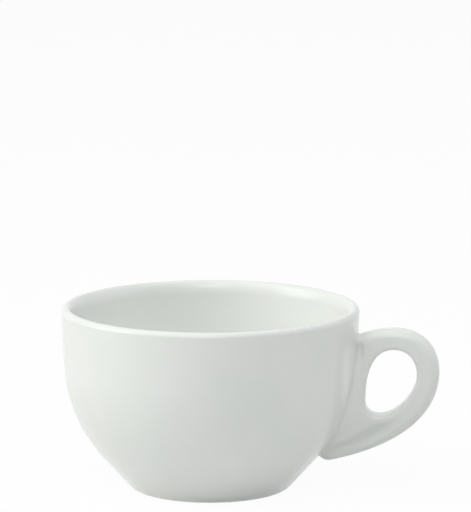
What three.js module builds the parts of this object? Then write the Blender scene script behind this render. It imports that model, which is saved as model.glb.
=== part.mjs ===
// A latte cup in white porcelain: a thick-walled bowl turned in one with its foot, a cast handle with one
// finger hole, and the slip that lutes the handle to the bowl. Millimetres, +Z up, the table at z = 0.
// The handle points along +X, and the origin is the middle of the cup's footprint on the table.

import * as THREE from "three";

const { degToRad: degrees, lerp, smoothstep } = THREE.MathUtils;
const QUARTER_TURN = Math.PI / 2;

// Bowl, all in its half section
const rimDiameter = 105;
const cupHeight = 65;
const wall = 4.4;
const wallLean = degrees(3); // from the vertical, opening towards the lip
const lipFlat = 0.2; // left on top between the two rounds of the lip
const bellyRound = 52; // outside radius between flank and wall
const flankLean = degrees(42);
const flankWall = 5.6;
const floorThickness = 5;
const floorRound = 20; // inside radius between floor and flank

// Foot
const footDiameter = 54.8; // where the line of the flank meets the table
const footRound = 4.7;
const standingWidth = 2.4; // flat ring that the cup stands on
const recessDepth = 2;
const recessLean = degrees(35);
const recessRound = 1;

// Handle, on its middle plane: distances out from the bowl's axis and heights
const handleThickness = 8;
const freeRound = 3.4; // along the outer edges of both faces
const holeRound = 1.5; // along the edges of the finger hole
const crestDrop = 6.9; // from the lip down to the top of the handle
const crestOut = 12.7; // from the rim out to the top of the handle
const rootDrop = 2.1; // from the crest down to where it meets the wall
const rootRise = degrees(18.5);
const reachDrop = 15.5; // from the crest down to the outermost point
const bowFullness = 0.6; // 0.55 is a quarter of an ellipse, more is squarer
const bowPull = 8.8; // how far the outline holds straight down from the outermost point
const tailPull = 33.6; // how far it holds straight out from the tail
const tailRise = degrees(12.7);
const tailHeight = 10.5; // lowest point of the tail above the table
const tailRound = 4;

// Finger hole, an egg of four quarters between its top, right, bottom and left
const holeWidth = 18.1;
const holeHeight = 23.5;
const holeStandOff = 2.3; // from the rim out to the hole's left
const bandTop = 7.4; // ring above the hole
const bandOuter = 7.8; // ring outside the hole
const holeTopIn = 9.9; // from the hole's left to its top
const holeRightDown = 8.9; // from the hole's top to its right
const holeBottomIn = 5; // from the hole's left to its bottom
const holeLeftUp = 5.2; // from the hole's bottom to its left
const topRightFullness = 0.61;
const bottomRightFullness = 0.45;
const bottomLeftFullness = 0.66;
const topLeftFullness = 0.63;

// Groove along the tail on both faces, steep towards the free edge and long towards the bowl
const grooveDepth = 2.6;
const grooveStart = 2; // distances in from the free edge, less where the web is narrower
const grooveMiddle = 4.4;
const grooveEnd = 10;
const grooveWeb = 17; // width of the web that they are given for
const grooveLip = 1.5; // left plain round the hole
const grooveLipBlend = 3;
const grooveFull = 10; // distances out from the seat
const grooveFaded = 18;
const grooveNarrow = 3; // width of the web where the groove has run out
const grooveWide = 9; // width of the web where it is full

// Crook under the handle's root on both faces, next to the bowl
const crookDepth = 2;
const crookReach = 2; // out from the seat
const crookStart = 1.5; // distances in from the free edge
const crookFull = 5;
const crookFade = 7; // from the hole's top down to where the crook has run out

// Luted joint
const slipThickness = 0.6;
const fullBead = 3.2; // how far the wiped joint spreads on the bowl
const endBead = 0.4; // the same at the tail and the root
const beadReach = 2; // how many times as far it reaches out on the handle
const beadFull = 0.15; // shares of the seat's height between which the spread is full
const beadFades = 0.62;
const beadEnds = 0.85;
const fitGap = 0.3; // between the bowl, the slip and the handle

// Facets
const facetError = 0.04; // most that a chord leaves its arc
const turnSteps = 80;
const edgeSteps = 4;
const faceSteps = 6;
const landSteps = 2;
const mostEdgeShare = 0.45; // of a narrow place's width that each of its two edge rounds may take
const riseSteps = 6;
const bowSteps = 10;
const sweepSteps = 14;
const tailSteps = 4;
const seatSteps = 18;

const glaze = { color: 0xf2f4f0, roughness: 0.12, metalness: 0 };

const rimRadius = rimDiameter / 2;
const lipRound = (wall - lipFlat) / 2;
const floorHeight = recessDepth + floorThickness;

// A straight side of the section: its radius at the table and its lean outwards from the vertical.
function sideThrough(point, lean) {
  return { radius: point.x - point.y * Math.tan(lean), lean };
}

function moved(side, out) {
  return { radius: side.radius + out / Math.cos(side.lean), lean: side.lean };
}

function radiusOn(side, z) {
  return side.radius + z * Math.tan(side.lean);
}

// Centre at a height of a round that touches the side from within, or from outside if the round is negative.
function centreBeside(side, round, z) {
  return new THREE.Vector2(radiusOn(moved(side, -round), z), z);
}

// Centre of a round that touches two sides from within.
function centreBetween(first, second, round) {
  const a = moved(first, -round);
  const b = moved(second, -round);
  const z = (a.radius - b.radius) / (Math.tan(b.lean) - Math.tan(a.lean));
  return new THREE.Vector2(radiusOn(a, z), z);
}

const lipCentre = new THREE.Vector2(rimRadius - lipRound, cupHeight - lipRound);
const wallSide = moved(sideThrough(lipCentre, wallLean), lipRound);
const flankSide = sideThrough(new THREE.Vector2(footDiameter / 2, 0), flankLean);
const bellyCentre = centreBetween(wallSide, flankSide, bellyRound);

function arc(centre, radius, from, to) {
  const step = 2 * Math.acos(1 - facetError / radius);
  const count = Math.ceil(Math.abs(to - from) / step);
  return Array.from({ length: count + 1 }, (_, i) => {
    const angle = from + ((to - from) * i) / count;
    const spoke = new THREE.Vector2(Math.cos(angle), Math.sin(angle));
    return spoke.multiplyScalar(radius).add(centre);
  });
}

// The half section is a run of arcs joined by straight lines, from the middle of the floor over the lip to
// the middle of the underside.
function makeBowl() {
  const innerWall = moved(wallSide, -wall);
  const innerFlank = moved(flankSide, -flankWall);
  const innerBellyRound = bellyRound - wall;
  const innerBellyCentre = centreBetween(innerWall, innerFlank, innerBellyRound);
  const floorCentre = centreBeside(innerFlank, floorRound, floorHeight + floorRound);
  const innerLipCentre = centreBeside(innerWall, -lipRound, lipCentre.y);
  const footCentre = centreBeside(flankSide, footRound, footRound);
  const ringCentre = new THREE.Vector2(footCentre.x - standingWidth, recessRound);
  const recessSide = moved(sideThrough(ringCentre, -recessLean), -recessRound);
  const recessCentre = centreBeside(recessSide, recessRound, recessDepth - recessRound);

  const section = [
    new THREE.Vector2(0, floorHeight),
    ...arc(floorCentre, floorRound, -QUARTER_TURN, -flankLean),
    ...arc(innerBellyCentre, innerBellyRound, -flankLean, -wallLean),
    ...arc(innerLipCentre, lipRound, Math.PI - wallLean, QUARTER_TURN),
    ...arc(lipCentre, lipRound, QUARTER_TURN, -wallLean),
    ...arc(bellyCentre, bellyRound, -wallLean, -flankLean),
    ...arc(footCentre, footRound, -flankLean, -QUARTER_TURN),
    ...arc(ringCentre, recessRound, -QUARTER_TURN, recessLean - Math.PI),
    ...arc(recessCentre, recessRound, recessLean, QUARTER_TURN),
    new THREE.Vector2(0, recessDepth),
  ];
  return new THREE.LatheGeometry(section.reverse(), turnSteps).rotateX(QUARTER_TURN);
}

// Radius of the bowl's outside at a height, with the whole side moved out by a distance.
function outsideRadius(z, out) {
  const round = bellyRound + out;
  if (z > bellyCentre.y - round * Math.sin(wallLean)) {
    return radiusOn(moved(wallSide, out), z);
  }
  if (z < bellyCentre.y - round * Math.sin(flankLean)) {
    return radiusOn(moved(flankSide, out), z);
  }
  return bellyCentre.x + Math.sqrt(round ** 2 - (z - bellyCentre.y) ** 2);
}

function outsidePoint(z, out) {
  return new THREE.Vector2(outsideRadius(z, out), z);
}

// A quarter of an oval between two of its extremes, level at one end and upright at the other.
function quarter(from, to, fullness, startsLevel) {
  const level = new THREE.Vector2((to.x - from.x) * fullness, 0);
  const upright = new THREE.Vector2(0, (to.y - from.y) * fullness);
  const [start, end] = startsLevel ? [level, upright] : [upright, level];
  return new THREE.CubicBezierCurve(from, from.clone().add(start), to.clone().sub(end), to);
}

const seatDistance = fitGap + slipThickness + fitGap;
const holeLeft = rimRadius + holeStandOff;
const crest = new THREE.Vector2(rimRadius + crestOut, cupHeight - crestDrop);
const holeTop = crest.y - bandTop;
const holeBottom = holeTop - holeHeight;
const holeMiddle = (holeTop + holeBottom) / 2;
const reach = new THREE.Vector2(holeLeft + holeWidth + bandOuter, crest.y - reachDrop);
const root = outsidePoint(crest.y - rootDrop, seatDistance);
const tailCentre = outsidePoint(tailHeight + tailRound, seatDistance);
const tailTip = outsidePoint(tailCentre.y - tailRound * Math.cos(flankLean), seatDistance);

// Heights up the seat, closer together at its ends, where the edges of the handle run into it.
const seatHeights = Array.from({ length: seatSteps + 1 }, (_, i) => {
  const share = (1 - Math.cos((Math.PI * i) / seatSteps)) / 2;
  return lerp(tailTip.y, root.y, share);
});

// Free edge of the handle, in stretches: up to the crest, round to the outermost point, down and in to the
// tail, and round the tail's end to the bowl.
function freeStretches() {
  const third = (crest.x - root.x) / 3;
  const rootAim = new THREE.Vector2(third, third * Math.tan(rootRise)).add(root);
  const crestAim = new THREE.Vector2(crest.x - third, crest.y);
  const tailDown = new THREE.Vector2(Math.sin(tailRise), -Math.cos(tailRise));
  const tailOut = new THREE.Vector2(Math.cos(tailRise), Math.sin(tailRise));
  const tailStart = tailDown.multiplyScalar(tailRound).add(tailCentre);
  const tailAim = tailOut.multiplyScalar(tailPull).add(tailStart);
  const reachAim = new THREE.Vector2(reach.x, reach.y - bowPull);
  const rise = new THREE.CubicBezierCurve(root, rootAim, crestAim, crest);
  const bow = quarter(crest, reach, bowFullness, true);
  const sweep = new THREE.CubicBezierCurve(reach, reachAim, tailAim, tailStart);
  const end = new THREE.EllipseCurve(
    tailCentre.x,
    tailCentre.y,
    tailRound,
    tailRound,
    tailRise - QUARTER_TURN,
    -QUARTER_TURN - flankLean,
    true,
  );
  return [
    rise.getSpacedPoints(riseSteps),
    bow.getSpacedPoints(bowSteps),
    [...sweep.getSpacedPoints(sweepSteps), ...end.getSpacedPoints(tailSteps).slice(1)],
  ];
}

// Edge of the finger hole, in the same stretches as the handle's own outline and with as many points: the
// stretch beside the bowl runs from low on the hole's left to high on it.
function holeStretches(counts) {
  const top = new THREE.Vector2(holeLeft + holeTopIn, holeTop);
  const right = new THREE.Vector2(holeLeft + holeWidth, holeTop - holeRightDown);
  const bottom = new THREE.Vector2(holeLeft + holeBottomIn, holeBottom);
  const left = new THREE.Vector2(holeLeft, holeBottom + holeLeftUp);
  const hole = new THREE.CurvePath();
  hole.add(quarter(top, right, topRightFullness, true));
  hole.add(quarter(right, bottom, bottomRightFullness, false));
  hole.add(quarter(bottom, left, bottomLeftFullness, true));
  hole.add(quarter(left, top, topLeftFullness, false));
  const [toRight, toBottom, toLeft, around] = hole.getCurveLengths().map((length, _, all) => length / all[3]);
  const low = (toBottom + toLeft) / 2;
  const high = (toLeft + around) / 2;
  const spans = [
    [high, around],
    [0, toRight],
    [toRight, low],
    [low, high],
  ];
  return spans.map(([from, to], i) =>
    Array.from({ length: counts[i] }, (_, k) => {
      return hole.getPoint(lerp(from, to, k / (counts[i] - 1)));
    }),
  );
}

// Joins stretches end to end, leaving out each one's last point, which the next one starts with.
function joined(stretches) {
  return stretches.flatMap((stretch) => stretch.slice(0, -1));
}

// Distance from a point to a line of points.
function distanceTo(points, point) {
  let nearest = Infinity;
  for (let i = 1; i < points.length; i++) {
    const along = points[i].clone().sub(points[i - 1]);
    const offset = point.clone().sub(points[i - 1]);
    const share = THREE.MathUtils.clamp(offset.dot(along) / along.lengthSq(), 0, 1);
    nearest = Math.min(nearest, offset.addScaledVector(along, -share).length());
  }
  return nearest;
}

// A closed surface through loops of points: round to the first loop again, or shut at both ends by strips
// between the two halves of the end loops.
function loft(loops, closesRound) {
  const size = loops[0].length;
  const triangles = [];
  const quad = (a, b, c, d) => triangles.push(a, b, c, a, c, d);
  const spans = closesRound ? loops.length : loops.length - 1;
  for (let i = 0; i < spans; i++) {
    const here = i * size;
    const next = ((i + 1) % loops.length) * size;
    for (let j = 0; j < size; j++) {
      const k = (j + 1) % size;
      quad(here + j, here + k, next + k, next + j);
    }
  }
  if (!closesRound) {
    const last = (loops.length - 1) * size;
    for (let j = 0; j < size / 2 - 1; j++) {
      const back = size - 1 - j;
      quad(j, back, back - 1, j + 1);
      quad(last + j, last + j + 1, last + back - 1, last + back);
    }
  }
  const geometry = new THREE.BufferGeometry().setFromPoints(loops.flat());
  return geometry.setIndex(triangles);
}

// A point of the section, set aside from the handle's middle plane and kept at its distance from the axis.
function aside(point, y) {
  return new THREE.Vector3(Math.sqrt(point.x ** 2 - y ** 2), y, point.y);
}

const seatStretch = seatHeights.map((z) => outsidePoint(z, seatDistance));
const outerStretches = [...freeStretches(), seatStretch];
const holeEdgeStretches = holeStretches(outerStretches.map((stretch) => stretch.length));
const outerEdge = joined(outerStretches);
const holeEdge = joined(holeEdgeStretches);
const freeEdge = [...joined(outerStretches.slice(0, -1)), tailTip];
const closedHoleEdge = [...holeEdge, holeEdge[0]];

// How deep the groove is at a height and at distances from the handle's edges. It fades out round the hole,
// up beside it, away from the bowl and down the tail.
function grooveAt(z, fromHole, fromFree, fromSeat) {
  const web = fromFree + fromSeat;
  const scale = Math.min(Math.sqrt(web / grooveWeb), 1);
  const inward = smoothstep(fromFree, grooveStart * scale, grooveMiddle * scale);
  const onward = 1 - smoothstep(fromFree, grooveMiddle * scale, grooveEnd * scale);
  const around = smoothstep(fromHole, grooveLip, grooveLip + grooveLipBlend);
  const below = 1 - smoothstep(z, holeBottom, holeMiddle);
  const near = 1 - smoothstep(fromSeat, grooveFull, grooveFaded);
  return grooveDepth * inward * onward * around * below * near * smoothstep(web, grooveNarrow, grooveWide);
}

// How deep the crook is. It fades out away from the bowl, towards the free edge and down beside the hole.
function crookAt(z, fromFree, fromSeat) {
  const near = 1 - smoothstep(fromSeat, 0, crookReach);
  const under = smoothstep(fromFree, crookStart, crookFull);
  return crookDepth * near * under * smoothstep(z, holeTop - crookFade, holeTop);
}

// How far a quarter round lies inside its corner at a distance from the corner's edge.
function roundCut(distance, radius) {
  const left = Math.max(radius - distance, 0);
  return radius - Math.sqrt(radius ** 2 - left ** 2);
}

// A spread on the bowl at a distance out from it, where less of it is left: a parabola.
function leftOf(spread, out) {
  return spread * Math.max(1 - out / (spread * beadReach), 0) ** 2;
}

// How far the wiped joint spreads to each side at a height and a distance out from the bowl.
function beadAt(z, out) {
  const share = (z - tailTip.y) / (root.y - tailTip.y);
  const full = smoothstep(share, 0, beadFull) * (1 - smoothstep(share, beadFades, beadEnds));
  return leftOf(lerp(endBead, fullBead, full), out);
}

// Half the handle's thickness at a point of its middle plane, but for the joint's spread: less in the groove
// and the crook, and rounded down along the hole and the free edge.
function bareHalf(point) {
  const fromHole = distanceTo(closedHoleEdge, point);
  const fromFree = distanceTo(freeEdge, point);
  const fromSeat = distanceTo(seatStretch, point);
  const hollow = grooveAt(point.y, fromHole, fromFree, fromSeat) + crookAt(point.y, fromFree, fromSeat);
  return handleThickness / 2 - hollow - roundCut(fromHole, holeRound) - roundCut(fromFree, freeRound);
}

function halfThickness(point) {
  return bareHalf(point) + beadAt(point.y, seatDistance + distanceTo(seatStretch, point));
}

// Shares along a line from the hole to the outer edge, close together in the edge rounds at both ends.
function crossShares(length) {
  const inner = Math.min(holeRound / length, mostEdgeShare);
  const outer = Math.min(freeRound / length, mostEdgeShare);
  const eased = Array.from({ length: edgeSteps }, (_, i) => 1 - Math.cos((QUARTER_TURN * i) / edgeSteps));
  const face = Array.from({ length: faceSteps + 1 }, (_, i) => {
    return lerp(inner, 1 - outer, i / faceSteps);
  });
  return [
    ...eased.map((share) => inner * share),
    ...face,
    ...eased.map((share) => 1 - outer * share).reverse(),
  ];
}

// The handle is a ring of loops round its own section: out over one face, across the outer land or the seat,
// back over the other face, and across the land of the hole.
function makeHandle() {
  const loops = outerEdge.map((outer, i) => {
    const inner = holeEdge[i];
    const points = crossShares(inner.distanceTo(outer)).map((share) => inner.clone().lerp(outer, share));
    const halves = points.map(halfThickness);
    const face = points.map((point, k) => aside(point, halves[k]));
    const back = points.map((point, k) => aside(point, -halves[k])).reverse();
    const land = (point, half, from) =>
      Array.from({ length: landSteps - 1 }, (_, k) => {
        return aside(point, from * half * (1 - (2 * (k + 1)) / landSteps));
      });
    return [...face, ...land(outer, halves.at(-1), 1), ...back, ...land(inner, halves[0], -1)];
  });
  return loft(loops, true);
}

// The slip follows the seat and carries the spread of the joint on from the handle to the bowl.
function makeSlip() {
  const underSlip = fitGap;
  const overSlip = fitGap + slipThickness;
  const rowAt = (height, bare, out, from) => {
    const endSpread = leftOf(endBead, out);
    const share = (height - tailTip.y) / (root.y - tailTip.y);
    const z = lerp(tailTip.y - endSpread, root.y + endSpread, share);
    const half = bare + beadAt(height, out);
    return Array.from({ length: landSteps + 1 }, (_, k) => {
      return aside(outsidePoint(z, out), from * half * (1 - (2 * k) / landSteps));
    });
  };
  const loops = seatHeights.map((height) => {
    const bare = bareHalf(outsidePoint(height, seatDistance));
    return [...rowAt(height, bare, underSlip, 1), ...rowAt(height, bare, overSlip, -1)];
  });
  return loft(loops, false);
}

function piece(name, geometry) {
  const mesh = new THREE.Mesh(geometry, new THREE.MeshStandardMaterial(glaze));
  mesh.name = name;
  return mesh;
}

const cup = new THREE.Group();
cup.add(piece("cup_body", makeBowl()));
cup.add(piece("handle", makeHandle()));
cup.add(piece("handle_slip", makeSlip()));

// The bowl's axis stands off the middle of the footprint by half of what the handle reaches past the rim.
const onFootprint = new THREE.Group();
cup.position.x = -(reach.x - rimRadius) / 2;
onFootprint.add(cup);

export default onFootprint;
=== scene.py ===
from math import cos, pi, radians, sin, tan

import bpy
import numpy as np
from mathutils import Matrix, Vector


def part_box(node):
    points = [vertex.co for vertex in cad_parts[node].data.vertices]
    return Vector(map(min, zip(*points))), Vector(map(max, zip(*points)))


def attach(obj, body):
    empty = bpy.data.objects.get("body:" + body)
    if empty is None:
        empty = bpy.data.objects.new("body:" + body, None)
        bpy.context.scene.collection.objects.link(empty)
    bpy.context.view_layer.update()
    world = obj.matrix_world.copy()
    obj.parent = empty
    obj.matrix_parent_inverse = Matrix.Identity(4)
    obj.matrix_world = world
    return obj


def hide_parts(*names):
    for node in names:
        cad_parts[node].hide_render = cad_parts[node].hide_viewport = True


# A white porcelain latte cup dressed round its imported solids: bowl, handle and luted joint as fine surfaces,
# clear glaze over all but the standing ring, a pale table and soft studio light. Metres, +Z up, handle along +X.

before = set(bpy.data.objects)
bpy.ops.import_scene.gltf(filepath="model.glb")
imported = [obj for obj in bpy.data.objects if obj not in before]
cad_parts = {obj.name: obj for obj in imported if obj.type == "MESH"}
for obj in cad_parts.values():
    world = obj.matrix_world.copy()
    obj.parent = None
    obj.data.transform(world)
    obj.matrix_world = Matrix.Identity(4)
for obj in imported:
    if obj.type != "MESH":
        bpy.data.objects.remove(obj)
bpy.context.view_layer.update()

MM = 0.001

# What the solids give
bowl_low, bowl_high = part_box("cup_body")
handle_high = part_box("handle")[1]
AXIS_X = (bowl_low.x + bowl_high.x) / 2
RIM_RADIUS = (bowl_high.x - bowl_low.x) / 2
CUP_HEIGHT = bowl_high.z
REACH = handle_high.x - AXIS_X

# Bowl and foot, in the half section
WALL = 4.4 * MM
WALL_LEAN = radians(3)
LIP_ROUND = 1.8 * MM
LIP_LAND = 0.1 * MM
LIP_DEPTH = 4.8 * MM
LIP_FULLNESS = 0.55
BELLY_ROUND = 52 * MM
FLANK_LEAN = radians(42)
FLANK_WALL = 5.6 * MM
FLOOR_HEIGHT = 7 * MM
FLOOR_ROUND = 20 * MM
FOOT_RADIUS = 27.4 * MM
FOOT_ROUND = 4.7 * MM
STANDING_WIDTH = 2.4 * MM
RECESS_DEPTH = 2 * MM
RECESS_LEAN = radians(35)
RECESS_ROUND = 1 * MM

# Handle, on its middle plane
HANDLE_THICKNESS = 8 * MM
FREE_ROUND = 3.4 * MM
HOLE_ROUND = 1.5 * MM
CREST_OUT = 12.7 * MM
CREST_DROP = 6.9 * MM
CREST_HEIGHT = CUP_HEIGHT - CREST_DROP
ROOT_DROP = 2.1 * MM
ROOT_RISE = radians(18.5)
REACH_DROP = 15.5 * MM
BOW_FULLNESS = 0.6
BOW_PULL = 8.8 * MM
TAIL_PULL = 33.6 * MM
TAIL_RISE = radians(12.7)
TAIL_HEIGHT = 10.5 * MM
TAIL_ROUND = 4 * MM
HOLE_WIDTH = 18.1 * MM
HOLE_HEIGHT = 23.5 * MM
HOLE_OUT = 2.3 * MM
HOLE_LEFT = RIM_RADIUS + HOLE_OUT
HOLE_TOP_IN = 9.9 * MM
HOLE_RIGHT_DOWN = 8.9 * MM
HOLE_BOTTOM_IN = 5 * MM
HOLE_LEFT_UP = 5.2 * MM
RING_AT_CREST = 7.4 * MM
HOLE_TOP = CREST_HEIGHT - RING_AT_CREST
HOLE_BOTTOM = HOLE_TOP - HOLE_HEIGHT
HOLE_MIDDLE = (HOLE_TOP + HOLE_BOTTOM) / 2
HOLE_FULLNESS = (0.61, 0.45, 0.66, 0.63)

# Groove along the tail and crook under the root, on both faces: depths, and distances from the edges
GROOVE_DEPTH = 2.6 * MM
GROOVE_START, GROOVE_MIDDLE, GROOVE_END = 2.1 * MM, 4.9 * MM, 9.4 * MM
GROOVE_WEB = 17 * MM
GROOVE_LIP, GROOVE_LIP_BLEND = 1.5 * MM, 3 * MM
GROOVE_FULL, GROOVE_FADED = 10 * MM, 18 * MM
GROOVE_NARROW, GROOVE_WIDE = 3 * MM, 9 * MM
LEAST_WEB = 0.02 * MM
CROOK_DEPTH = 2 * MM
CROOK_REACH = 2 * MM
CROOK_START, CROOK_FULL = 1.5 * MM, 5 * MM
CROOK_FADE = 7 * MM

# Luted joint: the bead is full on a stretch of the seat, in shares of its length, and smaller at the ends
SEAT = 1.2 * MM
BEAD = 3.2 * MM
END_BEAD = 0.4 * MM
BEAD_REACH = 2
BEAD_FULL, BEAD_FADES, BEAD_ENDS = 0.24, 0.5, 0.9
TOE, TOE_HEIGHT = 0.8 * MM, 0.35 * MM
BURIED = 0.06 * MM

# Grid steps, and points of arcs and curves
TURN_STEPS = 288
FLOOR_POINTS, INSIDE_POINTS, INNER_LIP_POINTS, LIP_POINTS = 30, 56, 32, 20
BELLY_POINTS, FOOT_POINTS, RECESS_POINTS, TAIL_POINTS = 60, 24, 10, 60
RISE_STEPS, BOW_STEPS, SWEEP_STEPS, SEAT_STEPS = 44, 72, 132, 120
EDGE_STEPS, FACE_STEPS, LAND_STEPS = 16, 32, 10
MOST_EDGE_SHARE = 0.45
SHARP_ANGLE = radians(30)
CURVE_STEPS = 400
JOINT_STEPS = 18
SEAT_SEARCH = -40 * MM, 60 * MM  # along the bowl's outside
SEAT_SAMPLES = 4001
BATCH = 4000  # numbers worked on at a time


def point(across, up):
    """A place in the half section: its distance from the bowl's axis and its height."""
    return np.array([across, up])


def moved(side, out):
    """A straight side of the section, given by its radius at the table and its lean, moved out square to itself."""
    return side[0] + out / cos(side[1]), side[1]


def side_through(place, lean):
    """The straight side of a lean that passes a place: its radius at the table is the place's less what it leans."""
    return place[0] - place[1] * tan(lean), lean


def radius_on(side, height):
    """Radius of a straight side at a height: that at the table plus the height times the tangent of the lean."""
    return side[0] + height * tan(side[1])


def beside(side, round_, height):
    """Centre at a height of a round that touches a side from within, or from outside if the round is negative."""
    return point(radius_on(moved(side, -round_), height), height)


def between(first, second, round_):
    """Centre of a round that touches two sides from within: where both sides, moved in by the round, cross."""
    a, b = moved(first, -round_), moved(second, -round_)
    height = (a[0] - b[0]) / (tan(b[1]) - tan(a[1]))
    return point(radius_on(a, height), height)


def arc(centre, radius, start, end, count):
    """Points of a circle: the centre plus the radius times the spoke at evenly stepped angles."""
    angle = np.linspace(start, end, count)
    return centre + radius * np.stack([np.cos(angle), np.sin(angle)], axis=-1)


lip_centre = point(RIM_RADIUS - LIP_ROUND, CUP_HEIGHT - LIP_ROUND)
wall_side = moved(side_through(lip_centre, WALL_LEAN), LIP_ROUND)
flank_side = side_through(point(FOOT_RADIUS, 0), FLANK_LEAN)
belly_centre = between(wall_side, flank_side, BELLY_ROUND)


def bowl_section():
    """Half section of the bowl as arcs joined by straight runs, from the middle of the inside floor up over the
    lip, a cubic on its inner side, and down the outside to the middle of the recess under the foot."""
    inner_wall, inner_flank = moved(wall_side, -WALL), moved(flank_side, -FLANK_WALL)
    inner_belly = BELLY_ROUND - WALL
    inner_centre = between(inner_wall, inner_flank, inner_belly)
    foot_centre = beside(flank_side, FOOT_ROUND, FOOT_ROUND)
    ring_centre = point(foot_centre[0] - STANDING_WIDTH, RECESS_ROUND)
    recess_side = moved(side_through(ring_centre, -RECESS_LEAN), -RECESS_ROUND)
    recess_centre = beside(recess_side, RECESS_ROUND, RECESS_DEPTH - RECESS_ROUND)
    floor_centre = beside(inner_flank, FLOOR_ROUND, FLOOR_HEIGHT + FLOOR_ROUND)
    lip_start = point(radius_on(inner_wall, CUP_HEIGHT - LIP_DEPTH), CUP_HEIGHT - LIP_DEPTH)
    lip_end = point(lip_centre[0] - LIP_LAND, CUP_HEIGHT)
    upright = LIP_FULLNESS * LIP_DEPTH * point(tan(WALL_LEAN), 1)
    level = LIP_FULLNESS * (lip_end - lip_start) * point(1, 0)
    inner_lip = cubic(lip_start, lip_start + upright, lip_end - level, lip_end)
    return np.concatenate([
        [point(0, FLOOR_HEIGHT)],
        arc(floor_centre, FLOOR_ROUND, -pi / 2, -FLANK_LEAN, FLOOR_POINTS),
        arc(inner_centre, inner_belly, -FLANK_LEAN, -WALL_LEAN, INSIDE_POINTS),
        spaced(inner_lip, 0, 1, INNER_LIP_POINTS),
        [lip_end],
        arc(lip_centre, LIP_ROUND, pi / 2, -WALL_LEAN, LIP_POINTS),
        arc(belly_centre, BELLY_ROUND, -WALL_LEAN, -FLANK_LEAN, BELLY_POINTS),
        arc(foot_centre, FOOT_ROUND, -FLANK_LEAN, -pi / 2, FOOT_POINTS),
        arc(ring_centre, RECESS_ROUND, -pi / 2, RECESS_LEAN - pi, RECESS_POINTS),
        arc(recess_centre, RECESS_ROUND, RECESS_LEAN, pi / 2, RECESS_POINTS),
        [point(0, RECESS_DEPTH)],
    ])


def outside(along, out):
    """A point at a distance along the bowl's outside, from the joint of flank and belly up, and a distance out
    from it: belly centre plus radius times spoke, plus what passes the ends of the belly along its tangent."""
    angle = np.clip(along / BELLY_ROUND - FLANK_LEAN, -FLANK_LEAN, -WALL_LEAN)
    straight = along - BELLY_ROUND * (angle + FLANK_LEAN)
    spoke = np.stack([np.cos(angle), np.sin(angle)], axis=-1)
    tangent = np.stack([-np.sin(angle), np.cos(angle)], axis=-1)
    return belly_centre + (BELLY_ROUND + out)[..., None] * spoke + straight[..., None] * tangent


def against_bowl(places):
    """Distance along the bowl's outside and out from it of points of the section, the inverse of outside()."""
    arm = places - belly_centre
    angle = np.clip(np.arctan2(arm[..., 1], arm[..., 0]), -FLANK_LEAN, -WALL_LEAN)
    out = arm[..., 0] * np.cos(angle) + arm[..., 1] * np.sin(angle) - BELLY_ROUND
    straight = arm[..., 1] * np.cos(angle) - arm[..., 0] * np.sin(angle)
    return BELLY_ROUND * (angle + FLANK_LEAN) + straight, out


def seat_point(height):
    """Point of the seat, the bowl's outside moved out to where the handle starts, at a height."""
    along = np.linspace(*SEAT_SEARCH, SEAT_SAMPLES)
    line = outside(along, np.full_like(along, SEAT))
    return point(np.interp(height, line[:, 1], line[:, 0]), height)


def cubic(start, leaving, arriving, end):
    """A cubic curve: its four points weighted by the cubic Bernstein shares."""
    t = np.linspace(0, 1, CURVE_STEPS)[:, None]
    s = 1 - t
    return s**3 * start + 3 * s**2 * t * leaving + 3 * s * t**2 * arriving + t**3 * end


def quarter(start, end, fullness, starts_level):
    """A quarter of an oval between two of its extremes: a cubic, level at one end and upright at the other."""
    level = (end - start) * point(fullness, 0)
    upright = (end - start) * point(0, fullness)
    leaving, arriving = (level, upright) if starts_level else (upright, level)
    return cubic(start, start + leaving, end - arriving, end)


def path_length(line):
    """Length of a line up to each of its points: the running sum of its steps."""
    return np.concatenate([[0], np.cumsum(np.linalg.norm(np.diff(line, axis=0), axis=1))])


def spaced(line, first, last, count):
    """Points of a line at even steps between two shares of its length, without the last one."""
    length = path_length(line)
    places = (first + (last - first) * np.arange(count) / count) * length[-1]
    return np.stack([np.interp(places, length, line[:, 0]), np.interp(places, length, line[:, 1])], axis=-1)


def distance_to(line, places):
    """Least distance from each point to the straight segments of a line, by the nearest point of each segment."""
    start, run = line[:-1], np.diff(line, axis=0)

    def nearest(some):
        """The same for as many points as are worked on at a time."""
        arm = some[:, None] - start
        share = np.clip((arm * run).sum(-1) / (run**2).sum(-1), 0, 1)
        gap = arm - share[..., None] * run
        return np.sqrt((gap**2).sum(-1).min(axis=1))

    parts = np.array_split(places.reshape(-1, 2), 1 + places.size // BATCH)
    return np.concatenate([nearest(some) for some in parts]).reshape(places.shape[:-1])


def eased_share(value, low, high):
    """Smooth step from 0 at low to 1 at high."""
    share = np.clip((value - low) / (high - low), 0, 1)
    return share * share * (3 - 2 * share)


def round_cut(distance, radius):
    """How far a quarter round lies inside its corner at a distance from the corner's edge."""
    left = np.clip(radius - distance, 0, radius)
    return radius - np.sqrt(radius**2 - left**2)


crest = point(RIM_RADIUS + CREST_OUT, CREST_HEIGHT)
reach = point(REACH, CREST_HEIGHT - REACH_DROP)
root = seat_point(CREST_HEIGHT - ROOT_DROP)
tail_centre = seat_point(TAIL_HEIGHT + TAIL_ROUND)
tail_tip = tail_centre - TAIL_ROUND * point(sin(FLANK_LEAN), cos(FLANK_LEAN))
tail_along = against_bowl(tail_tip)[0]
root_along = against_bowl(root)[0]


def bead_radius(along):
    """Radius of the wiped bead along the joint: small round the tail and under the root, full between."""
    share = (along - tail_along) / (root_along - tail_along)
    full = eased_share(share, 0, BEAD_FULL) * (1 - eased_share(share, BEAD_FADES, BEAD_ENDS))
    return END_BEAD + (BEAD - END_BEAD) * full


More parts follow.
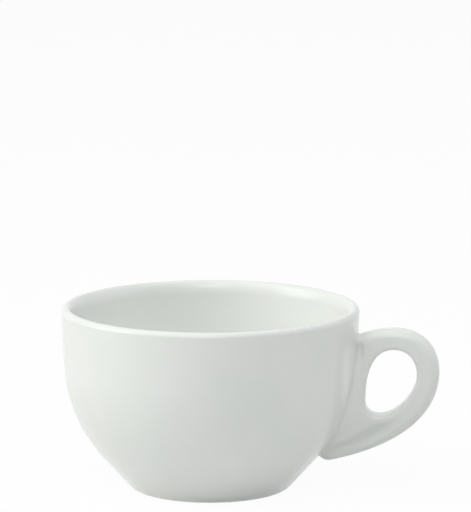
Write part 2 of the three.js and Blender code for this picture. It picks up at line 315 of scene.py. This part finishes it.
def bead_spread(along, out):
    """How far the bead spreads past the handle's side at a distance out from the bowl, a parabola."""
    full = bead_radius(along)
    return full * np.maximum(1 - out / (full * BEAD_REACH), 0) ** 2


def free_outline():
    """The handle's free edge on its middle plane: up from the root to the crest, round to the outermost point, down
    and in, and round the tail to the bowl. Where it nears the bowl it spreads with the bead, along its normal."""
    third = (crest[0] - root[0]) / 3
    rise = cubic(root, root + point(third, third * tan(ROOT_RISE)), crest - point(third, 0), crest)
    bow = quarter(crest, reach, BOW_FULLNESS, True)
    tail_start = tail_centre + TAIL_ROUND * point(sin(TAIL_RISE), -cos(TAIL_RISE))
    tail_aim = tail_start + TAIL_PULL * point(cos(TAIL_RISE), sin(TAIL_RISE))
    sweep = cubic(reach, reach - point(0, BOW_PULL), tail_aim, tail_start)
    end = arc(tail_centre, TAIL_ROUND, TAIL_RISE - pi / 2, -pi / 2 - FLANK_LEAN, TAIL_POINTS)
    down = np.concatenate([sweep[:-1], end])
    line = np.concatenate([
        spaced(rise, 0, 1, RISE_STEPS), spaced(bow, 0, 1, BOW_STEPS), spaced(down, 0, 1, SWEEP_STEPS), [tail_tip],
    ])
    run = np.gradient(line, axis=0)
    outward = np.stack([-run[:, 1], run[:, 0]], axis=-1) / np.linalg.norm(run, axis=1)[:, None]
    line = line + bead_spread(*against_bowl(line))[:, None] * outward
    ends = against_bowl(line[[0, -1]])[0]
    line[[0, -1]] = outside(ends, np.full(2, SEAT))
    return line, ends[1], ends[0]


def hole_outline():
    """The finger hole on the middle plane, an egg of four quarters between its top, right, bottom and left, in the
    same stretches as the outer edge: the last one runs up its left, beside the bowl."""
    top = point(HOLE_LEFT + HOLE_TOP_IN, HOLE_TOP)
    right = point(HOLE_LEFT + HOLE_WIDTH, HOLE_TOP - HOLE_RIGHT_DOWN)
    bottom = point(HOLE_LEFT + HOLE_BOTTOM_IN, HOLE_BOTTOM)
    left = point(HOLE_LEFT, bottom[1] + HOLE_LEFT_UP)
    corners = [top, right, bottom, left, top]
    quarters = [quarter(corners[i], corners[i + 1], HOLE_FULLNESS[i], i % 2 == 0) for i in range(4)]
    hole = np.concatenate([quarters[0]] + [line[1:] for line in quarters[1:]])
    length = path_length(hole)
    to_right, to_bottom, to_left = length[[(CURVE_STEPS - 1) * i for i in (1, 2, 3)]] / length[-1]
    low, high = (to_bottom + to_left) / 2, (to_left + 1) / 2
    return np.concatenate([
        spaced(hole, high, 1, RISE_STEPS),
        spaced(hole, 0, to_right, BOW_STEPS),
        spaced(hole, to_right, low, SWEEP_STEPS),
        spaced(hole, low, high, SEAT_STEPS),
    ])


free_edge, seat_low, seat_high = free_outline()
hole_edge = hole_outline()
closed_hole = np.concatenate([hole_edge, hole_edge[:1]])
eased_steps = (1 - np.cos(pi * np.linspace(0, 1, SEAT_STEPS + 1))) / 2
seat_along = seat_low + (seat_high - seat_low) * eased_steps
seat_edge = outside(seat_along[:-1], np.full(SEAT_STEPS, SEAT))


def groove_depth(height, from_hole, from_free, from_seat):
    """Depth of the groove: a product of smooth steps, in from the free edge and out again, that fades out round the
    hole, up beside it, away from the bowl, and down the tail by the width of the web."""
    web = np.maximum(from_free + from_seat, LEAST_WEB)
    scale = np.minimum(np.sqrt(web / GROOVE_WEB), 1)
    inward = eased_share(from_free, GROOVE_START * scale, GROOVE_MIDDLE * scale)
    onward = 1 - eased_share(from_free, GROOVE_MIDDLE * scale, GROOVE_END * scale)
    around = eased_share(from_hole, GROOVE_LIP, GROOVE_LIP + GROOVE_LIP_BLEND)
    below = 1 - eased_share(height, HOLE_BOTTOM, HOLE_MIDDLE)
    near = 1 - eased_share(from_seat, GROOVE_FULL, GROOVE_FADED)
    return GROOVE_DEPTH * inward * onward * around * below * near * eased_share(web, GROOVE_NARROW, GROOVE_WIDE)


def crook_depth(height, from_free, from_seat):
    """Depth of the crook: a product of smooth steps, that fades out away from the bowl, towards the free edge and
    down beside the hole."""
    near = 1 - eased_share(from_seat, 0, CROOK_REACH)
    under = eased_share(from_free, CROOK_START, CROOK_FULL)
    return CROOK_DEPTH * near * under * eased_share(height, HOLE_TOP - CROOK_FADE, HOLE_TOP)


def half_thickness(places):
    """Half the handle's thickness: less in the groove and the crook, rounded down along the hole and the free edge
    by their distances, and flared by the bead next to the bowl."""
    from_hole, from_free = distance_to(closed_hole, places), distance_to(free_edge, places)
    along, out = against_bowl(places)
    height, from_seat = places[..., 1], out - SEAT
    hollow = groove_depth(height, from_hole, from_free, from_seat) + crook_depth(height, from_free, from_seat)
    cuts = round_cut(from_hole, HOLE_ROUND) + round_cut(from_free, FREE_ROUND)
    return HANDLE_THICKNESS / 2 - hollow - cuts + bead_spread(along, out)


def aside(places, y):
    """Section points set aside from the middle plane by y and kept at their distance from the bowl's axis."""
    return np.stack([AXIS_X + np.sqrt(places[..., 0] ** 2 - y**2), y, places[..., 1]], axis=-1)


def make_piece(name, vertices, quads, others, sharp_angle):
    """A mesh object at the origin from arrays, its faces turned outwards by the sign of the enclosed volume."""
    a, b, c, d = (vertices[quads[:, i]] for i in range(4))
    inside_out = (a * (np.cross(b, c) + np.cross(c, d))).sum() < 0
    faces = [face[::-1] if inside_out else face for face in quads.tolist() + others]
    mesh = bpy.data.meshes.new(name)
    mesh.from_pydata(vertices.tolist(), [], faces)
    mesh.shade_smooth()
    mesh.set_sharp_from_angle(angle=sharp_angle)
    piece = bpy.data.objects.new(name, mesh)
    bpy.context.scene.collection.objects.link(piece)
    return piece


def grid_quads(index, rows_close):
    """Quads between neighbours of an index grid whose columns close round, and whose rows may close too."""
    right = np.roll(index, -1, axis=1)
    quads = np.stack([index, right, np.roll(right, -1, axis=0), np.roll(index, -1, axis=0)], axis=-1)
    return (quads if rows_close else quads[:-1]).reshape(-1, 4)


def make_bowl():
    """Surface of revolution: each section point goes round the bowl's axis at its radius and height. Both ends of
    the section lie on the axis and are single vertices with a fan of triangles each."""
    section = bowl_section()
    turn = 2 * pi * np.arange(TURN_STEPS) / TURN_STEPS
    radius, height = section[1:-1, 0, None], section[1:-1, 1, None]
    rows = np.stack([AXIS_X + radius * np.cos(turn), radius * np.sin(turn), height + 0 * turn], axis=-1)
    poles = np.array([[AXIS_X, 0, section[0, 1]], [AXIS_X, 0, section[-1, 1]]])
    vertices = np.concatenate([rows.reshape(-1, 3), poles])
    index = np.arange(rows.shape[0] * TURN_STEPS).reshape(-1, TURN_STEPS)
    inner, under = index[0], index[-1]
    inner_fan = np.stack([np.roll(inner, -1), inner, np.full(TURN_STEPS, len(vertices) - 2)], axis=-1)
    under_fan = np.stack([under, np.roll(under, -1), np.full(TURN_STEPS, len(vertices) - 1)], axis=-1)
    return make_piece("bowl", vertices, grid_quads(index, False), inner_fan.tolist() + under_fan.tolist(), pi)


def make_handle():
    """A ring of loops: along each line from the hole to the outer edge, out over one face at the half thickness,
    across the outer land or the seat, back over the other face and across the land of the hole."""
    outer_edge = np.concatenate([free_edge[:-1], seat_edge])
    length = np.linalg.norm(outer_edge - hole_edge, axis=1)[:, None]
    inner = np.minimum(HOLE_ROUND / length, MOST_EDGE_SHARE)
    outer = np.minimum(FREE_ROUND / length, MOST_EDGE_SHARE)
    eased = 1 - np.cos(pi / 2 * np.arange(EDGE_STEPS) / EDGE_STEPS)
    face = inner + (1 - outer - inner) * np.arange(FACE_STEPS + 1) / FACE_STEPS
    shares = np.concatenate([inner * eased, face, 1 - outer * eased[::-1]], axis=1)[..., None]
    places = hole_edge[:, None] + shares * (outer_edge - hole_edge)[:, None]
    half = half_thickness(places)
    land = 1 - 2 * np.arange(1, LAND_STEPS) / LAND_STEPS
    outer_land = aside(np.repeat(outer_edge[:, None], LAND_STEPS - 1, axis=1), half[:, -1:] * land)
    hole_land = aside(np.repeat(hole_edge[:, None], LAND_STEPS - 1, axis=1), -half[:, :1] * land)
    loops = np.concatenate([aside(places, half), outer_land, aside(places, -half)[:, ::-1], hole_land], axis=1)
    index = np.arange(loops.shape[0] * loops.shape[1]).reshape(loops.shape[:2])
    return make_piece("finger_handle", loops.reshape(-1, 3), grid_quads(index, True), [], SHARP_ANGLE)


def make_joint():
    """The luted joint: the outline of the seat, up one side of the handle and down the other, carried in to the bowl
    and a little into it in closed rings. Each ring is spread by the bead and by its cubic toe along the outline's own
    normal, and sinks under the root as the handle's top does. A ladder of quads closes the first and last ring."""
    half = half_thickness(outside(seat_along, np.full_like(seat_along, SEAT)))
    side = np.stack([seat_along, half], axis=-1)
    outline = np.concatenate([side, side[::-1] * point(1, -1)])
    run = np.roll(outline, -1, axis=0) - np.roll(outline, 1, axis=0)
    normal = np.stack([-run[:, 1], run[:, 0]], axis=-1) / np.linalg.norm(run, axis=1)[:, None]
    out = np.concatenate([SEAT * (1 - np.arange(JOINT_STEPS + 1) / JOINT_STEPS) ** 2, [-BURIED]])[:, None]
    along = outline[:, 0]
    toe = TOE * np.maximum(1 - out / TOE_HEIGHT, 0) ** 3
    gain = bead_spread(along, out) - bead_spread(along, SEAT) + toe
    sink = (SEAT - out) * tan(ROOT_RISE + WALL_LEAN) * eased_share(along, seat_high - FREE_ROUND, seat_high)
    rings = outside(along + gain * normal[:, 0] - sink, np.broadcast_to(out, gain.shape))
    vertices = aside(rings, outline[:, 1] + gain * normal[:, 1])
    index = np.arange(gain.size).reshape(gain.shape)
    rung = np.arange(SEAT_STEPS)
    ladder = np.stack([rung, rung + 1, -2 - rung, -1 - rung], axis=-1)
    quads = np.concatenate([grid_quads(index, False), index[0][ladder[:, ::-1]], index[-1][ladder]])
    return make_piece("luted_joint", vertices.reshape(-1, 3), quads, [], SHARP_ANGLE)


bowl, handle, joint = make_bowl(), make_handle(), make_joint()
for piece, node, slot in (
    (bowl, "cup_body", "bowl_glaze"),
    (handle, "handle", "handle_glaze"),
    (joint, "handle_slip", "slip_glaze"),
):
    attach(piece, "root")
    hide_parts(node)


class Value:
    """A number on a shader socket. Python's operators on it add Math nodes."""

    def __init__(self, finish, socket):
        self.finish, self.socket = finish, socket

    def math(self, operation, first, second):
        return self.finish.node("ShaderNodeMath", {"operation": operation}, {0: first, 1: second})["Value"]

    def __add__(self, other):
        return self.math("ADD", self, other)

    def __sub__(self, other):
        return self.math("SUBTRACT", self, other)

    def __rsub__(self, other):
        return self.math("SUBTRACT", other, self)

    def __mul__(self, other):
        return self.math("MULTIPLY", self, other)

    __radd__, __rmul__ = __add__, __mul__

    def larger(self, other):
        """The larger of two values."""
        return self.math("MAXIMUM", self, other)


class Finish:
    """The node tree of a material or a world, emptied. node() adds any node to it."""

    def __init__(self, owner):
        self.owner = owner
        owner.use_nodes = True
        self.tree = owner.node_tree
        self.tree.nodes.clear()

    def node(self, kind, settings={}, sockets={}):
        """Adds a node, sets its settings, then its sockets by name or place, and gives its outputs by name."""
        made = self.tree.nodes.new(kind)
        for name, value in settings.items():
            setattr(made, name, value)
        for key, value in sockets.items():
            socket = made.inputs[key] if isinstance(key, int) else next(
                s for s in made.inputs if s.name == key and s.enabled
            )
            if isinstance(value, Value):
                self.tree.links.new(value.socket, socket)
            else:
                socket.default_value = value
        return {s.name: Value(self, s) for s in made.outputs if s.enabled}

    def noise(self, place, size, detail):
        """Noise whose features are about a size in metres across."""
        sockets = {"Vector": place, "Scale": 1 / size, "Detail": detail}
        return self.node("ShaderNodeTexNoise", {}, sockets)["Fac"]

    def eased(self, value, low, high):
        """Smooth step from 0 at low to 1 at high."""
        sockets = {"Value": value, "From Min": low, "From Max": high}
        return self.node("ShaderNodeMapRange", {"interpolation_type": "SMOOTHSTEP"}, sockets)["Result"]

    def blend(self, share, first, second):
        """One colour at share 0 and the other at 1."""
        sockets = {"Factor": share, "A": first, "B": second}
        return self.node("ShaderNodeMix", {"data_type": "RGBA"}, sockets)["Result"]


def colour(red, green, blue):
    """A colour for a socket, with full opacity."""
    return (red, green, blue, 1)


THIN_GLAZE = colour(0.912, 0.914, 0.896)
DEEP_GLAZE = colour(0.892, 0.904, 0.886)
BISCUIT = colour(0.80, 0.785, 0.75)
BISCUIT_GRIT = colour(0.70, 0.68, 0.64)
GLAZE_ROUGHNESS = 0.15
GLAZE_IOR = 1.5
GLAZE_GLOSS = 0.4
GLOSS_VARIES = 0.05
BISCUIT_ROUGHNESS = 0.62

# Sizes of the glaze's clouds, waves and grains, heights of its relief, and where the bare ring ends
CLOUD_SIZE, GLOSS_SIZE, WAVER_SIZE = 26 * MM, 9 * MM, 5 * MM
RIPPLE_SIZE, PEEL_SIZE, GRIT_SIZE = 13 * MM, 2.2 * MM, 0.35 * MM
RIPPLE, PEEL, GRIT = 14e-6, 1e-6, 20e-6
CLOUD_STARTS, CLOUD_FULL = 0.35, 0.65
GRIT_STARTS, GRIT_FULL = 0.5, 0.8
BARE_WAVERS = 0.25 * MM
BARE_BELOW, GLAZED_ABOVE = 0.26 * MM, 0.36 * MM


def make_glaze(name, stands):
    """Clear gloss glaze on white porcelain: clouds of thicker and thinner glaze, a slow ripple and a fine peel in
    the surface, and a gloss that varies a little. On the piece that stands on the table the ring is bare."""
    finish = Finish(bpy.data.materials.new(name))
    place = finish.node("ShaderNodeTexCoord")["Object"]
    cloud = finish.eased(finish.noise(place, CLOUD_SIZE, 2), CLOUD_STARTS, CLOUD_FULL)
    ripple = finish.noise(place, RIPPLE_SIZE, 1)
    peel = finish.noise(place, PEEL_SIZE, 2)
    shade = finish.blend(cloud, THIN_GLAZE, DEEP_GLAZE)
    roughness = GLAZE_ROUGHNESS + GLOSS_VARIES * finish.noise(place, GLOSS_SIZE, 3)
    relief = RIPPLE * ripple + PEEL * peel
    if stands:
        height = finish.node("ShaderNodeSeparateXYZ", {}, {"Vector": place})["Z"]
        grit = finish.noise(place, GRIT_SIZE, 3)
        edge = height + BARE_WAVERS * finish.noise(place, WAVER_SIZE, 2)
        bare = 1 - finish.eased(edge, BARE_BELOW, GLAZED_ABOVE)
        clay = finish.blend(finish.eased(grit, GRIT_STARTS, GRIT_FULL), BISCUIT, BISCUIT_GRIT)
        shade = finish.blend(bare, shade, clay)
        roughness = roughness * (1 - bare) + BISCUIT_ROUGHNESS * bare
        relief = relief + GRIT * (bare * grit)
    normal = finish.node("ShaderNodeBump", {}, {"Strength": 1, "Distance": 1, "Height": relief})["Normal"]
    look = {"Base Color": shade, "Roughness": roughness, "Normal": normal}
    gloss = {"IOR": GLAZE_IOR, "Specular IOR Level": GLAZE_GLOSS}
    shader = finish.node("ShaderNodeBsdfPrincipled", {}, look | gloss)["BSDF"]
    finish.node("ShaderNodeOutputMaterial", {}, {"Surface": shader})
    return finish.owner


bowl.data.materials.append(make_glaze("bowl_glaze", True))
handle.data.materials.append(make_glaze("handle_glaze", False))
joint.data.materials.append(make_glaze("joint_glaze", False))


# Table and studio
TABLE_SIZE = 8
TABLE_GAP = 0.1 * MM
TABLE_BOUNCE = colour(0.83, 0.83, 0.83)
TABLE_WHITE = colour(0.98, 0.98, 0.98)
WHITE = colour(1, 1, 1)
WHITE_SHARE = 0.95
WORLD_LIGHT = 0.1


def seen_directly(finish):
    """1 for a ray from the camera or off a gloss or through glass, else 0."""
    path = finish.node("ShaderNodeLightPath")
    return path["Is Camera Ray"].larger(path["Is Glossy Ray"]).larger(path["Is Transmission Ray"])


def make_table():
    """The table: a flat grid that is pale and keeps the cup's shadow, mostly white to the camera and to gloss, and a
    duller one for the light that it throws back."""
    line = np.linspace(-TABLE_SIZE / 2, TABLE_SIZE / 2, 3)
    x, y = np.meshgrid(line, line)
    vertices = np.stack([x, y, np.full_like(x, -TABLE_GAP)], axis=-1).reshape(-1, 3)
    corner = np.array([0, 1, 3, 4])[:, None]
    mesh = bpy.data.meshes.new("table")
    mesh.from_pydata(vertices.tolist(), [], (corner + np.array([0, 1, 4, 3])).tolist())
    table = bpy.data.objects.new("table", mesh)
    bpy.context.scene.collection.objects.link(table)
    finish = Finish(bpy.data.materials.new("pale_table"))
    seen = seen_directly(finish)
    shade = finish.blend(seen, TABLE_BOUNCE, TABLE_WHITE)
    pale = finish.node("ShaderNodeBsdfDiffuse", {}, {"Color": shade})["BSDF"]
    white = finish.node("ShaderNodeEmission", {}, {"Color": WHITE, "Strength": 1})["Emission"]
    mixed = finish.node("ShaderNodeMixShader", {}, {0: WHITE_SHARE * seen, 1: pale, 2: white})["Shader"]
    finish.node("ShaderNodeOutputMaterial", {}, {"Surface": mixed})
    mesh.materials.append(finish.owner)


make_table()

# Studio: white all round where it is seen, a soft grey light from all round where it falls on things
world = Finish(bpy.data.worlds.new("studio"))
bpy.context.scene.world = world.owner
strength = WORLD_LIGHT + (1 - WORLD_LIGHT) * seen_directly(world)
light = world.node("ShaderNodeBackground", {}, {"Color": WHITE, "Strength": strength})["Background"]
world.node("ShaderNodeOutputWorld", {}, {"Surface": light})


def towards(turn, rise):
    """Direction at a turn to the right of the viewer's side and a rise above the table, in degrees."""
    turn, rise = radians(turn), radians(rise)
    return Vector((sin(turn) * cos(rise), -cos(turn) * cos(rise), sin(rise)))


# Square soft lamps at one distance: turn and rise of the direction they stand in, size, power in watts and colour
LAMP_DISTANCE = 1.5
LAMPS = {
    "key": (-78, 24, 1.0, 8.7, (0.98, 1, 0.95)),
    "key_high": (-55, 60, 1.4, 9.9, (0.97, 1, 0.97)),
    "front_high": (5, 40, 0.5, 3.5, (0.96, 1, 0.97)),
    "fill": (100, 25, 1.4, 4.2, (0.96, 1, 1)),
    "fill_high": (60, 60, 1.4, 3.4, (0.96, 1, 1)),
    "back_high": (140, 60, 1.4, 2.2, (0.96, 1, 1)),
}
middle = Vector((AXIS_X, 0, CUP_HEIGHT / 2))
for name, (turn, rise, size, power, tint) in LAMPS.items():
    lamp = bpy.data.lights.new(name, "AREA")
    lamp.shape, lamp.size, lamp.energy, lamp.color = "SQUARE", size, power, tint
    stand = bpy.data.objects.new(name, lamp)
    stand.location = middle + LAMP_DISTANCE * towards(turn, rise)
    stand.rotation_euler = towards(turn, rise).to_track_quat("Z", "Y").to_euler()
    bpy.context.scene.collection.objects.link(stand)

# Camera: a long lens from a little above and a little towards the handle's side
VIEW_DISTANCE = 1.5
VIEW_TURN, VIEW_RISE = 5, 9.861
LENS, SENSOR = 300.8, 36
AIM = Vector((AXIS_X + 8.834 * MM, 0.773 * MM, 82.682 * MM))
back = towards(VIEW_TURN, VIEW_RISE)
lens = bpy.data.cameras.new("camera")
lens.lens, lens.sensor_width = LENS, SENSOR
camera = bpy.data.objects.new("camera", lens)
camera.location = AIM + VIEW_DISTANCE * back
camera.rotation_euler = back.to_track_quat("Z", "Y").to_euler()
bpy.context.scene.collection.objects.link(camera)
bpy.context.scene.camera = camera
bpy.context.scene.view_settings.view_transform = "Standard"

bpy.context.view_layer.update()
